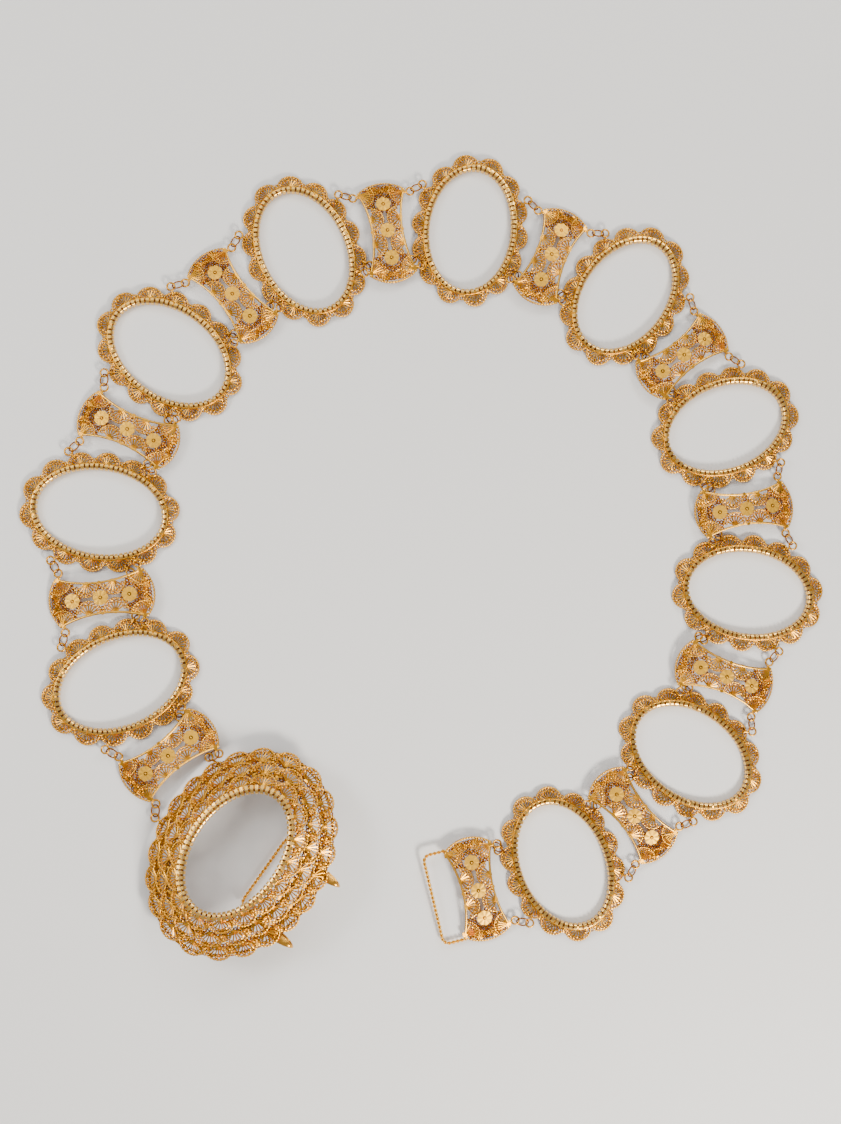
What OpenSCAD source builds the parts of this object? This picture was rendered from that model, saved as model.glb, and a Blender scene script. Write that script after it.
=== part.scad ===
// Filigree belt of gold links, laid open on a flat surface.
// X and Y lie in the surface, Z is up. The origin is under the middle of the laid belt.
// A link's own frame: +X along the chain, +Y towards the inside of the curve.

/* [Oval frames] */
// Half of an oval opening, along the chain
oval_half_w = 16.5; // [14:0.5:19]
// Half of an oval opening, across the chain
oval_half_l = 24.4; // [22:0.2:27]
// Width of the reeded rim
rim_w = 2.3; // [1.8:0.1:3]
// Height of the reeded rim
rim_h = 3.3; // [2.6:0.1:4]
// Number of fans round an oval
oval_fans = 14; // [14]
// How far an oval's fans reach past its opening
fan_reach = 7.5; // [7:0.1:8]

/* [Spool links] */
// Half length of a spool link, to the middle of its end arc
spool_half_l = 21; // [19:0.5:23]
// Half width of a spool link at its corners
spool_corner_w = 9.8; // [9:0.2:10.6]
// Half width of a spool link at its waist
spool_waist_w = 6.4; // [5.4:0.2:7.4]
// Distance of a corner from the link's middle, lengthwise
spool_corner_l = 17.2; // [16.6:0.2:17.6]
// Wall of a spool link
spool_wall = 0.9; // [0.7:0.1:1.2]
// Diameter of a flat disc
disc_d = 6.3; // [5:0.1:7]
// Distance from disc to disc
disc_pitch = 11.2; // [10.6:0.1:11.6]

/* [Buckle] */
// Half width of the buckle's opening
buckle_half_w = 16.3; // [15:0.1:17]
// Half length of the buckle's opening
buckle_half_l = 24.8; // [23:0.2:26]
// Width of the buckle's three tiers, in plan
band_w = 18.8; // [17:0.2:20]
// Height of the reeded rim over the buckle's outer edge
dome_h = 11.6; // [9:0.2:13]
// Number of fans along the buckle's outer edge
edge_fans = 22; // [20:1:24]
// How far the buckle leans back on its loop, in degrees
buckle_lean = 13; // [10:1:15]

/* [Rings and wires] */
// Mean radius of a jump ring
ring_r = 2.3; // [2.2:0.05:2.4]
// Radius of the wire in rings and eyelets
wire_r = 0.28; // [0.25:0.01:0.32]
// Mean radius of an eyelet
eye_r = 1.45; // [1.4:0.05:1.55]
// Radius of the two-strand loops
loop_r = 0.6; // [0.5:0.05:0.7]

/* [Hidden] */
$fn = 48;

gold = "goldenrod";
bright_gold = "gold";

// The chain: the place and heading of the free end's link, and the bend at each joint
first_x = 20.05;
first_y = -135.05;
first_heading = 14;
bends = [10, 16, 16, 15, 11, 16, 14, 16, 16, 14, 15, 16, 15, 15, 15, 13, 15, 16, 16, 15];
buckle_bend = 16;
link_count = 21;

// Eyelets in a link's own frame: along the chain, across it, and their height when level
spool_eye = [11.7, 15.6];
oval_eye = [21.7, 15.6];
eye_z = 2.1;
inner_eye_z = 3.9;
oval_stem_turn = 52;
oval_stem_l = 6.4;
spool_stem_l = 3.4;
buckle_stem_l = 5.4;
spool_tilt = asin((inner_eye_z - eye_z) / (2 * spool_eye[1]));

// Outer eyelets lie this far apart, and the rings between them slant towards the inside
ring_play = 0.25;
outer_gap = 2 * (ring_r + eye_r - 2 * wire_r - ring_play);
outer_slant = 30;
ring_roll = 45;

// The buckle's eyelets lie off its middle, and its ring slants outwards
buckle_eye_outer = [-36.2, -8.8];
buckle_eye_inner = [-32.8, 22.2];
buckle_slant = -50;
buckle_gap = 5.4;

// Fans and rim details
reeds = 72;
reed_depth = 0.3;
fan_wall = 0.9;
fan_r = 5.05;
fan_root = 1.2;
fan_root_w = 0.9;
fan_steps = 14;
// Places round an oval whose fans are closed, where eyelets and neighbours meet them
closed_fans = [1, 2, 5, 6, 8, 9, 12, 13];
fan_base_z = 2.6;
fan_drop = 18;
window_in = 1.7;
window_out = 3.7;
window_in_turn = 60;
window_out_turn = 70;
stem_r = 0.45;
arch_r = 80;
disc_wall = 0.6;
slot_l = 5.0;
slot_w = 1.5;
disc_hole_d = 0.9;
disc_sink = 0.3;
end_lap = 0.5;

// Reaches past any link, for the solids that cut one
cut = 20;

// Catch loop on the free end
loop_half_l = 17.9;
loop_reach = 18;
loop_bend = 2.6;
loop_root_y = 8.8;
loop_root_z = -0.55;

// Buckle details
band_wall = 1.0;
band_lip = 0.6;
edge_fan_plan = 4.15;
band_end = band_w - edge_fan_plan;
rim_lap = 0.8;
tier_1 = rim_w + 5.7;
tier_2 = tier_1 + 5.2;
tier_step = 0.4;
tier_edge = 0.2;
// Where the edge of a fan is cut, in half pitches from its middle
edge_spots = [-0.97, -0.75, -0.35, 0.35, 0.75, 0.97];
buckle_z = 0.45;
buckle_rim_h = 2.4;
hook_wall = 0.8;
hook_bend = 2.2;
hook_w = 3.8;
hook_l = 17;
hook_tip = 0.5;
hook_top_l = 8.5;
hook_under_l = 4.5;
hook_lap = 0.1;
hook_post_x = 7.5;
hook_post_lap = 0.2;
hook_z = -3.5;
hook_post_r = 0.9;
hook_post_h = 4.5;
hook_tips = [[38.4, 11.6], [37.0, -17.4]];
back_loop_x = 9.4;
back_loop_y = -1.0;
back_loop_half = 15.6;
back_loop_root_x = 26;
back_loop_root_z = 3.0;
back_loop_drop = 9.6;

// Plane helpers
function turned(p, a) = [p[0] * cos(a) - p[1] * sin(a), p[0] * sin(a) + p[1] * cos(a)];
function along(a) = [cos(a), sin(a)];
function total(v, n) = n == 0 ? 0 : v[n - 1] + total(v, n - 1);

// Headings and middles of the links, from the free end: even places are spools, odd ones ovals
function heading(i) = first_heading + total(bends, i);
function eye(i) = i % 2 == 0 ? spool_eye : oval_eye;
function slant(i) = i % 2 == 0 ? -outer_slant : outer_slant;
function middle(i) = i == 0 ? [first_x, first_y] :
    middle(i - 1) + turned([eye(i - 1)[0], -eye(i - 1)[1]], heading(i - 1))
    + outer_gap * along((heading(i - 1) + heading(i)) / 2 + slant(i - 1))
    + turned(eye(i), heading(i));

// Place of an eyelet: end is -1 or 1 along the chain, side is -1 outside or 1 inside
function eye_height(i, side) = i % 2 == 0 && side > 0 ? inner_eye_z : eye_z;
function eye_place(i, end, side) =
    let (p = middle(i) + turned([end * eye(i)[0], side * eye(i)[1]], heading(i)))
    [p[0], p[1], eye_height(i, side)];

// The buckle follows the last spool
last = link_count - 1;
buckle_heading = heading(last) + buckle_bend;
last_outer = eye_place(last, 1, -1);
buckle_middle = [last_outer[0], last_outer[1]]
    + buckle_gap * along(heading(last) + buckle_bend / 2 + buckle_slant)
    - turned(buckle_eye_outer, buckle_heading);
function buckle_eye_place(p) = concat(buckle_middle + turned(p, buckle_heading), [eye_z]);

// Ellipse helpers: points, length along the curve, and the outward direction
function ellipse(a, b, n) = [for (i = [0 : n - 1]) [a * cos(i * 360 / n), b * sin(i * 360 / n)]];
function notched(a, b, n, depth) = [for (i = [0 : 2 * n - 1])
    [(a + depth * (i % 2)) * cos(i * 180 / n), (b + depth * (i % 2)) * sin(i * 180 / n)]];
function lengths(a, b, steps) = let (p = ellipse(a, b, steps))
    [for (i = 0, s = 0; i <= steps; s = s + norm(p[(i + 1) % steps] - p[i % steps]), i = i + 1) s];
function even_angles(a, b, n) =
    let (steps = 180, s = lengths(a, b, steps), t = [for (i = [0 : steps]) [s[i], i * 360 / steps]])
    [for (k = [0 : n - 1]) lookup(k * s[steps] / n, t)];
function outward(a, b, t) = atan2(sin(t) / b, cos(t) / a);

module torus(r, wire) {
    rotate_extrude() translate([r, 0]) circle(r = wire, $fn = 24);
}

// One fan, its root inside the rim and its round edge at reach, with a window if it is open
function arc(r, from, to, n) = [for (i = [0 : n]) r * along(from + (to - from) * i / n)];
module fan_shape(r, reach, open) {
    translate([reach - r, 0]) difference() {
        polygon(concat(arc(r, -90, 90, fan_steps),
            [[r - reach - fan_root, fan_root_w * r], [r - reach - fan_root, -fan_root_w * r]]));
        if (open) polygon(concat(arc(window_out, -window_out_turn, window_out_turn, fan_steps / 2),
            arc(window_in, window_in_turn, -window_in_turn, fan_steps / 2)));
    }
}

// Row of fans round an ellipse, each sloping down from its root
module fan_row(a, b, n, r, reach, base_z, drop, closed) {
    angles = even_angles(a, b, n);
    for (k = [0 : n - 1])
        translate([a * cos(angles[k]), b * sin(angles[k]), base_z])
            rotate([0, 0, outward(a, b, angles[k])])
                rotate([0, drop, 0])
                    translate([0, 0, -fan_wall])
                        linear_extrude(fan_wall) fan_shape(r, reach, len(search(k, closed)) == 0);
}

module eyelet(stem_from) {
    torus(eye_r, wire_r);
    rotate([0, -90, 0]) translate([0, 0, eye_r]) cylinder(r = stem_r, h = stem_from - eye_r);
}

// Oval frame in its own frame, with its flat back at Z = 0
module oval_frame() {
    a = oval_half_w + rim_w;
    b = oval_half_l + rim_w;
    linear_extrude(rim_h) difference() {
        polygon(ellipse(a, b, reeds));
        polygon(notched(oval_half_w - reed_depth / 2, oval_half_l - reed_depth / 2, reeds, reed_depth));
    }
    fan_row(a, b, oval_fans, fan_r, (fan_reach - rim_w) / cos(fan_drop), fan_base_z, fan_drop,
        closed_fans);
    for (end = [-1, 1], side = [-1, 1])
        translate([end * oval_eye[0], side * oval_eye[1], eye_z])
            rotate([0, 0, side * (end > 0 ? oval_stem_turn : 180 - oval_stem_turn)]) eyelet(oval_stem_l);
}

// Outline of a spool link, its length along X
module spool_outline() {
    sag = spool_corner_w - spool_waist_w;
    side_r = (pow(spool_corner_l, 2) + sag * sag) / (2 * sag);
    bulge = spool_half_l - spool_corner_l;
    end_r = (pow(spool_corner_w, 2) + bulge * bulge) / (2 * bulge);
    difference() {
        for (end = [-1, 1]) intersection() {
            translate([end * (spool_half_l - end_r), 0]) circle(r = end_r);
            translate([end > 0 ? -end_lap : end_lap - cut - spool_half_l, -spool_corner_w])
                square([spool_half_l + cut, 2 * spool_corner_w]);
        }
        for (side = [-1, 1]) translate([0, side * (spool_waist_w + side_r)]) circle(r = side_r, $fn = 120);
        for (side = [-1, 1]) translate([side * disc_pitch / 2, 0]) square([slot_l, slot_w], center = true);
    }
}

// Spool link, its length along X and its eyelets at Z = 0: ends lists the sides that carry eyelets
module spool_link(ends) {
    crown = arch_r - sqrt(arch_r * arch_r - spool_eye[1] * spool_eye[1]);
    intersection() {
        translate([0, 0, -cut / 2]) linear_extrude(cut) spool_outline();
        translate([0, 0, crown - arch_r]) rotate([90, 0, 0]) difference() {
            cylinder(r = arch_r + spool_wall / 2, h = 2 * cut, center = true, $fn = 200);
            cylinder(r = arch_r - spool_wall / 2, h = 3 * cut, center = true, $fn = 200);
        }
    }
    for (k = [-1 : 1]) translate([0, 0, crown - arch_r])
        rotate([0, asin(k * disc_pitch / arch_r), 0])
            translate([0, 0, arch_r + spool_wall / 2 - disc_sink]) difference() {
                cylinder(d = disc_d, h = disc_wall + disc_sink);
                translate([0, 0, disc_sink]) cylinder(d = disc_hole_d, h = 2 * disc_wall);
            }
    for (end = ends, side = [-1, 1]) translate([side * spool_eye[1], end * spool_eye[0], 0])
        rotate([0, 0, end * 90]) eyelet(spool_stem_l);
}

// Wire loop in the XY plane: from two roots at Y = 0 out to a far side at Y = reach
module wire_loop(half, reach, bend) {
    for (side = [-1, 1]) {
        translate([side * half, 0, 0]) rotate([-90, 0, 0]) cylinder(r = loop_r, h = reach - bend, $fn = 24);
        translate([side * (half - bend), reach - bend, 0]) rotate([0, 0, side > 0 ? 0 : 90])
            rotate_extrude(angle = 90) translate([bend, 0]) circle(r = loop_r, $fn = 24);
    }
    translate([-(half - bend), reach, 0]) rotate([0, 90, 0])
        cylinder(r = loop_r, h = 2 * (half - bend), $fn = 24);
}

// Place a link of the chain
module placed(i) {
    translate([middle(i)[0], middle(i)[1], 0]) rotate([0, 0, heading(i)]) children();
}

module oval(i) {
    color(gold) placed(i) oval_frame();
}

module spool(i) {
    color(bright_gold) placed(i) translate([0, 0, (eye_z + inner_eye_z) / 2])
        rotate([spool_tilt, 0, 0]) rotate([0, 0, 90]) {
            spool_link(i == 0 ? [-1] : [-1, 1]);
            if (i == 0) translate([0, loop_root_y, loop_root_z])
                wire_loop(loop_half_l, loop_reach - loop_root_y, loop_bend);
        }
}

// Jump ring through two eyelets, rolled about the line between them
module jump_ring(p, q, roll) {
    d = q - p;
    flat = norm([d[0], d[1]]);
    translate((p + q) / 2) rotate([0, 0, atan2(d[1], d[0])]) rotate([0, -atan2(d[2], flat), 0])
        rotate([roll, 0, 0]) torus(ring_r, wire_r);
}

// The two jump rings between link i and the next one
module ring_pair(i) {
    color(gold) {
        for (side = [-1, 1]) jump_ring(eye_place(i, 1, side), eye_place(i + 1, -1, side), ring_roll);
    }
}

module buckle_rings() {
    color(gold) {
        jump_ring(last_outer, buckle_eye_place(buckle_eye_outer), ring_roll);
        jump_ring(eye_place(last, 1, 1), buckle_eye_place(buckle_eye_inner), ring_roll);
    }
}

// Height of the buckle's band, by how far past the opening
band_rise = dome_h - buckle_rim_h;
function band_z(d) = band_rise + band_lip - band_rise * (d - rim_w) / (band_w - rim_w);
function band_point(d, z, t) = [(buckle_half_w + d) * cos(t), (buckle_half_l + d) * sin(t), z];

// Section of the band where its edge lies at d, stepped at each tier
function band_corner(d, rise) = [d, band_z(d) + rise];
function band_section(d) = [
    band_corner(rim_w - rim_lap, 2 * tier_step),
    band_corner(tier_1, 2 * tier_step),
    band_corner(tier_1 + tier_edge, tier_step),
    band_corner(tier_2, tier_step),
    band_corner(tier_2 + tier_edge, 0),
    band_corner(d, 0),
    band_corner(d, -band_wall),
    band_corner(rim_w - rim_lap, -band_wall)];

// Band swept round the opening, its edge cut into round fans
module band() {
    n = edge_fans * len(edge_spots);
    m = len(band_section(0));
    angles = even_angles(buckle_half_w + band_end, buckle_half_l + band_end, 2 * edge_fans);
    function spot_angle(k, u) = let (w = angles[2 * k], v = angles[(2 * k + 1) % (2 * edge_fans)],
        before = angles[(2 * k - 1 + 2 * edge_fans) % (2 * edge_fans)])
        u > 0 ? w + u * (v - w) : w - u * (before - (k == 0 ? 360 : 0) - w);
    points = [for (k = [0 : edge_fans - 1], u = edge_spots)
        let (d = band_end + edge_fan_plan * sqrt(1 - u * u)) each
        [for (p = band_section(d)) band_point(p[0], p[1], spot_angle(k, u))]];
    faces = [for (i = [0 : n - 1], k = [0 : m - 1])
        let (j = (i + 1) % n, l = (k + 1) % m)
        each [[i * m + k, j * m + l, i * m + l], [i * m + k, j * m + k, j * m + l]]];
    polyhedron(points, faces);
}

// Hook: a bent strip cut to a leaf in plan, its bend at X = 0 and its root behind it
module hook() {
    leaf_r = (pow(hook_l / 2, 2) + pow(hook_w / 2, 2)) / hook_w;
    outer = hook_bend + hook_wall;
    intersection() {
        rotate([90, 0, 0]) translate([0, 0, -hook_w]) linear_extrude(2 * hook_w) {
            translate([-outer, 0]) intersection() {
                difference() {
                    circle(r = outer);
                    circle(r = hook_bend);
                }
                translate([0, -outer]) square([outer, 2 * outer]);
            }
            translate([-outer - hook_top_l, hook_bend]) square([hook_top_l + hook_lap, hook_wall]);
            translate([-outer - hook_under_l, -outer]) square([hook_under_l + hook_lap, hook_wall]);
        }
        translate([hook_tip - hook_l / 2, 0, -cut / 2]) linear_extrude(cut) intersection_for (side = [-1, 1])
            translate([0, side * (leaf_r - hook_w / 2)]) circle(r = leaf_r, $fn = 120);
    }
    translate([-outer - hook_post_x, 0, hook_bend + hook_post_lap])
        cylinder(r = hook_post_r, h = hook_post_h);
}

// Buckle in its own frame, level, its outer edge near Z = 0
module buckle_plate() {
    translate([0, 0, dome_h - buckle_rim_h]) linear_extrude(buckle_rim_h) difference() {
        polygon(ellipse(buckle_half_w + rim_w, buckle_half_l + rim_w, reeds));
        polygon(notched(buckle_half_w - reed_depth / 2, buckle_half_l - reed_depth / 2, reeds, reed_depth));
    }
    band();
    for (tip = hook_tips) translate([tip[0], tip[1], hook_z]) hook();
    run = back_loop_root_x - back_loop_x;
    fall = back_loop_root_z + back_loop_drop;
    translate([back_loop_root_x, back_loop_y, back_loop_root_z]) rotate([0, -atan2(fall, run), 0])
        rotate([0, 0, 90]) wire_loop(back_loop_half, norm([run, fall]), loop_bend);
}

module buckle() {
    edge = buckle_half_w + band_w;
    color(bright_gold) translate([buckle_middle[0], buckle_middle[1], 0])
        rotate([0, 0, buckle_heading]) {
            translate([-edge, 0, buckle_z]) rotate([0, -buckle_lean, 0]) translate([edge, 0, 0])
                buckle_plate();
            for (p = [buckle_eye_outer, buckle_eye_inner]) translate([p[0], p[1], eye_z])
                rotate([0, 0, 180]) eyelet(buckle_stem_l);
        }
}

buckle();
oval(1);  // oval_01
oval(3);  // oval_02
oval(5);  // oval_03
oval(7);  // oval_04
oval(9);  // oval_05
oval(11);  // oval_06
oval(13);  // oval_07
oval(15);  // oval_08
oval(17);  // oval_09
oval(19);  // oval_10
spool(0);  // spool_01
spool(2);  // spool_02
spool(4);  // spool_03
spool(6);  // spool_04
spool(8);  // spool_05
spool(10);  // spool_06
spool(12);  // spool_07
spool(14);  // spool_08
spool(16);  // spool_09
spool(18);  // spool_10
spool(20);  // spool_11
ring_pair(0);  // rings_01
ring_pair(1);  // rings_02
ring_pair(2);  // rings_03
ring_pair(3);  // rings_04
ring_pair(4);  // rings_05
ring_pair(5);  // rings_06
ring_pair(6);  // rings_07
ring_pair(7);  // rings_08
ring_pair(8);  // rings_09
ring_pair(9);  // rings_10
ring_pair(10);  // rings_11
ring_pair(11);  // rings_12
ring_pair(12);  // rings_13
ring_pair(13);  // rings_14
ring_pair(14);  // rings_15
ring_pair(15);  // rings_16
ring_pair(16);  // rings_17
ring_pair(17);  // rings_18
ring_pair(18);  // rings_19
ring_pair(19);  // rings_20
buckle_rings();  // rings_21
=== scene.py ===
"""Looks of a gold filigree belt that lies unfastened on a pale surface.

Lengths are millimetres until a mesh is set in its place, where MM turns them into metres.
A link's own frame has +X along the chain, +Y towards the inside of the curve and +Z up.
"""

import math

import bmesh
import bpy
from mathutils import Matrix, Vector


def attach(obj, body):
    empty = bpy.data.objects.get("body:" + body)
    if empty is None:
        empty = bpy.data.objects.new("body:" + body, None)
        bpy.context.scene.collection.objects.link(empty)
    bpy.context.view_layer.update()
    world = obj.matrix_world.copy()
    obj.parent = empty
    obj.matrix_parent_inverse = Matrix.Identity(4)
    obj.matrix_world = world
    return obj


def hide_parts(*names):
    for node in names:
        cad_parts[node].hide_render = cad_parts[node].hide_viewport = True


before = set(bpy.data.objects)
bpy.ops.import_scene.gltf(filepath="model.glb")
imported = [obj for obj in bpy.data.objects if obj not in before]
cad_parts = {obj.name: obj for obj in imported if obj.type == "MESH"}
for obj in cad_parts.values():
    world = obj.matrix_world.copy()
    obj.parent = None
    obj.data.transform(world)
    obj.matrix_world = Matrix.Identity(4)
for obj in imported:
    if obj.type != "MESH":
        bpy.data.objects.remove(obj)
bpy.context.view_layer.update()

MM = 0.001

# The chain as the solids lie: the free end's place and heading, and the bend at each joint, in degrees
FIRST = Vector((20.05, -135.05, 0))
FIRST_HEADING = 14
BENDS = [10, 16, 16, 15, 11, 16, 14, 16, 16, 14, 15, 16, 15, 15, 15, 13, 15, 16, 16, 15]
OUTER_GAP = 5.88
OUTER_SLANT = 30
SPOOL_EYE = Vector((11.7, 15.6, 0))
OVAL_EYE = Vector((21.7, 15.6, 0))
EYE_Z = 2.1
INNER_EYE_Z = 3.9
SPOOL_TILT = math.asin((INNER_EYE_Z - EYE_Z) / (2 * SPOOL_EYE.y))

# The buckle's place after the last spool, and its lean on the loop under its back
BUCKLE_BEND = 16
BUCKLE_SLANT = -50
BUCKLE_GAP = 5.4
BUCKLE_EYES = [Vector((-36.2, -8.8, 0)), Vector((-32.8, 22.2, 0))]
BUCKLE_LEAN = math.radians(13)
BUCKLE_Z = 0.45

# Rim round an opening: its band starts RIM_BACK outside the opening and ends RIM_SKIRT past the rim's width
RIM_W = 2.3
RIM_H = 3.3
RIM_STEPS = 144
RIM_ROUND = 0.35
RIM_BACK = 0.8
RIM_SKIRT = -0.45
# Square bars that lie across the rim and bend down over its inner edge
REEDS = 72
REED_R = 0.66
REED_STRETCH = 0.92
REED_REACH = 1.5
BUCKLE_REED_REACH = 2.6
REED_TILT = 0.08
REED_DIP = 0.3
REED_STAND = 0.75
REED_INSET = 0.9
REED_HANDLE = 0.25
# Plain wire along the rim's foot, over the roots of the fans
FOOT_R = 0.36
FOOT_OUT = 2.35
FOOT_DOWN = 0.95

# Oval frames
OVAL_HALF = (16.5, 24.4)
OVAL_FANS = 14
FAN_BASE_Z = 2.6
FAN_DROP = math.radians(18)
FAN_REACH = 7.5
FAN_R = 5.4
FAN_MIDDLE = 0.4
# How far past the rim the small rings between the fans stand
OVAL_RING_OUT = 1.5
# The way the eyelets point at the leading end, in degrees off the chain's line
OVAL_EYE_TURN = 52

# Any fan: its rings lie this many border wires inside its edge, and its ribs start this share of a ring in
ROW_DEPTH = 1.6
RIB_LAP = 0.45
ROOT_DEPTH = 0.5
ROOT_SHAPE = (0.7, 1.5, 1.0)
# The most that a fan is turned by hand
FAN_FIDDLE = 0.03
# Points in an oval path before parts are spaced out along it
PATH_STEPS = 180

# Spool links, their length along their own X before they are turned into the chain
SPOOL_CORNER = (17.2, 9.8)
SPOOL_WAIST = 6.4
SPOOL_END = 21.0
ARCH_R = 80
CROWN = ARCH_R - math.sqrt(ARCH_R ** 2 - SPOOL_EYE.y ** 2)
# Arcs along a spool link's long edge and its end
SPOOL_SAG = SPOOL_CORNER[1] - SPOOL_WAIST
SPOOL_BULGE = SPOOL_END - SPOOL_CORNER[0]
SIDE_R = (SPOOL_CORNER[0] ** 2 + SPOOL_SAG ** 2) / (2 * SPOOL_SAG)
SIDE_MIDDLE = SPOOL_WAIST + SIDE_R
END_R = (SPOOL_CORNER[1] ** 2 + SPOOL_BULGE ** 2) / (2 * SPOOL_BULGE)
END_MIDDLE = SPOOL_END - END_R
# Plain wire along the long edges: radius, how far in it lies, how flat it is and the height of its crest
EDGE_WIRE = (0.46, 0.42, 0.72, 0.34)
# Beaded wire along the ends
END_WIRE = 0.44
END_BEADS = 18
# Small plates in the corners and at the waist: radius and how far in each lies
CORNER_PLATE = (0.7, 1.0)
WAIST_PLATE = (0.65, 0.3)
PLATE_DEPTH = 0.8
# Scalloped discs with a ring of painted shade and a pip in the middle
DISC_R = 3.0
DISC_PITCH = 11.2
DISC_Z = 0.45
DISC_WALL = 0.6
DISC_LOBES = 8
DISC_SCALLOP = 0.085
DISC_GROOVE = 0.5
DIMPLE_R = 0.75
DIMPLE_DEPTH = 0.06
PIP_R = 0.42
PIP_FLAT = 0.6
# Slots: distance from the middle, half length and half width
SLOT = (5.6, 2.6, 0.8)
# Fans of a spool link: radius, distance of the border's middle from the root, root along, and lean
EDGE_FAN = (5.15, 0.8, 5.3, math.radians(3))
CORNER_FAN = (5.5, 1.0, 16.5, math.radians(20))
END_FAN = (3.3, 0.6, 19.5, math.radians(6))
END_FAN_Y = 2.8
FAN_INSET = 0.3
NET_PITCH = 1.35
# The net's rings are lowered by Shade, painted shade in the gaps between the fans.
NET_RING = {"Radius": 0.6, "Wire": 0.3, "Steps": 7, "Sides": 4, "Shade": 0.4}
# Past this far along the link the net runs on under the fans
NET_END = 17.4
NET_SINK = 0.15
# How far the net runs under the fans and discs, and how far it stays off the long edges and the ends
NET_LAP = 0.1
NET_OFF_EDGE = 0.8
NET_OFF_END = 1.0

# Buckle
BUCKLE_HALF = (16.3, 24.8)
BAND_W = 18.8
DOME_H = 11.6
BUCKLE_RIM_H = 2.4
BAND_LIP = 0.6
RIM_SINK = 0.28
# How deep the tiers' fans, the smaller fans, the cusp rings and the net rows lie under the band's top
TIER_SINK = 0.5
FILL_SINK = 0.9
CUSP_SINK = 0.4
NET_ROW_SINK = 0.95
# Each tier: where its fans start and end past the opening, their number, radius and step up
TIERS = [(RIM_W, 8.4, 17, 5.5, 0.8), (4.8, 13.6, 20, 5.9, 0.4), (10.0, BAND_W - 0.1, 22, 6.0, 0.0)]
# Smaller fans lie under each tier between its fans and end short of its edge, over rows of small rings
CUSP = 2.7
FILL_SHORT = 2.5
FILL_R = 3.7
NET_ROWS = (7.3, 8.6, 12.5, 13.8, 16.3)
# Leaf-shaped hooks: the leaf would end HOOK_TIP past the bend, and its strip runs back above and below it
HOOK_TIPS = [(38.4, 11.6), (37.0, -17.4)]
HOOK_Z = -3.5
HOOK_W = 3.8
HOOK_L = 17
HOOK_BEND = 2.2
HOOK_WALL = 0.8
HOOK_TIP = 0.5
HOOK_ABOVE = 8.5
HOOK_BELOW = 4.5
HOOK_LEAST = 0.25
HOOK_CREST = 0.6

# Eyelets, a little thicker than their solids and still clear of the jump rings
WIRE_R = 0.38
EYE_R = 1.5
OVAL_STEM = 3.4
SPOOL_STEM = 3.0
BUCKLE_STEM = 5.4

# Wire loops of two strands
LOOP_R = 0.72
LOOP_BEND = 2.6
LOOP_PITCH = 3.4
LOOP_STEP = 0.3
# The catch loop on the free end: where its roots lie, half its length along the link, and its far side
CATCH_ROOT = (8.8, -0.55)
CATCH_HALF = 17.9
CATCH_REACH = 18
# The loop under the buckle's back: its roots' middle, its far side's place and height, and half its length
BACK_ROOT = (26, -1.0, 3.0)
BACK_END = (9.4, -9.6)
BACK_HALF = 15.6

# How much thinner a beaded wire is between its beads, and its points to a bead
NECK = 0.48
BEAD_STEPS = 3

# The most that small rings are tipped by hand
RING_WOBBLE = 0.25
NET_WOBBLE = 0.4

# Edges that bend more than this stay sharp
SHARP_ANGLE = math.radians(66)

# Finishes, as the value of a face's finish attribute
WIRE, BRIGHT, SATIN, POLISHED = range(4)
# The crest value of a part that lies in shade between brighter ones
SHADED = -0.3

# The surface lies this far under the belt, in metres, and a finish is worked this deep
SURFACE_GAP = 0.0002
RELIEF_DEPTH = 0.0001


class Shaper:
    """A node tree under construction, with its inputs named as the sizes they hold."""

    SOCKETS = {
        float: "NodeSocketFloat",
        int: "NodeSocketInt",
        tuple: "NodeSocketColor",
    }

    def __init__(self, name, inputs, outputs, kind="GeometryNodeTree"):
        self.group = bpy.data.node_groups.new(name, kind)
        for label, value in inputs.items():
            socket = self.group.interface.new_socket(
                label, in_out="INPUT", socket_type=self.SOCKETS[type(value)]
            )
            socket.default_value = value
        for label, socket_type in outputs.items():
            self.group.interface.new_socket(label, in_out="OUTPUT", socket_type=socket_type)
        self.entry = self.group.nodes.new("NodeGroupInput")
        self.exit = self.group.nodes.new("NodeGroupOutput")

    def __getitem__(self, label):
        return self.entry.outputs[label]

    def fill(self, socket, value):
        if isinstance(value, bpy.types.NodeSocket):
            self.group.links.new(value, socket)
        elif isinstance(value, list):
            for each in value:
                self.group.links.new(each, socket)
        else:
            socket.default_value = value

    def node(self, kind, inputs=None, settings=None):
        made = self.group.nodes.new(kind)
        for name, value in (settings or {}).items():
            setattr(made, name, value)
        for key, value in (inputs or {}).items():
            if isinstance(key, int):
                socket = made.inputs[key]
            else:
                socket = next(s for s in made.inputs if s.enabled and s.name == key)
            self.fill(socket, value)
        return made

    def add(self, kind, inputs=None, settings=None):
        made = self.node(kind, inputs, settings)
        return next(s for s in made.outputs if s.enabled)

    def math(self, operation, *values):
        made = self.group.nodes.new("ShaderNodeMath")
        made.operation = operation
        for place, value in enumerate(values):
            self.fill(made.inputs[place], value)
        return made.outputs[0]

    def vector(self, x=0.0, y=0.0, z=0.0):
        return self.add("ShaderNodeCombineXYZ", {"X": x, "Y": y, "Z": z})

    def finish(self, **outputs):
        for label, value in outputs.items():
            self.fill(self.exit.inputs[label], value)
        return self.group


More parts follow.
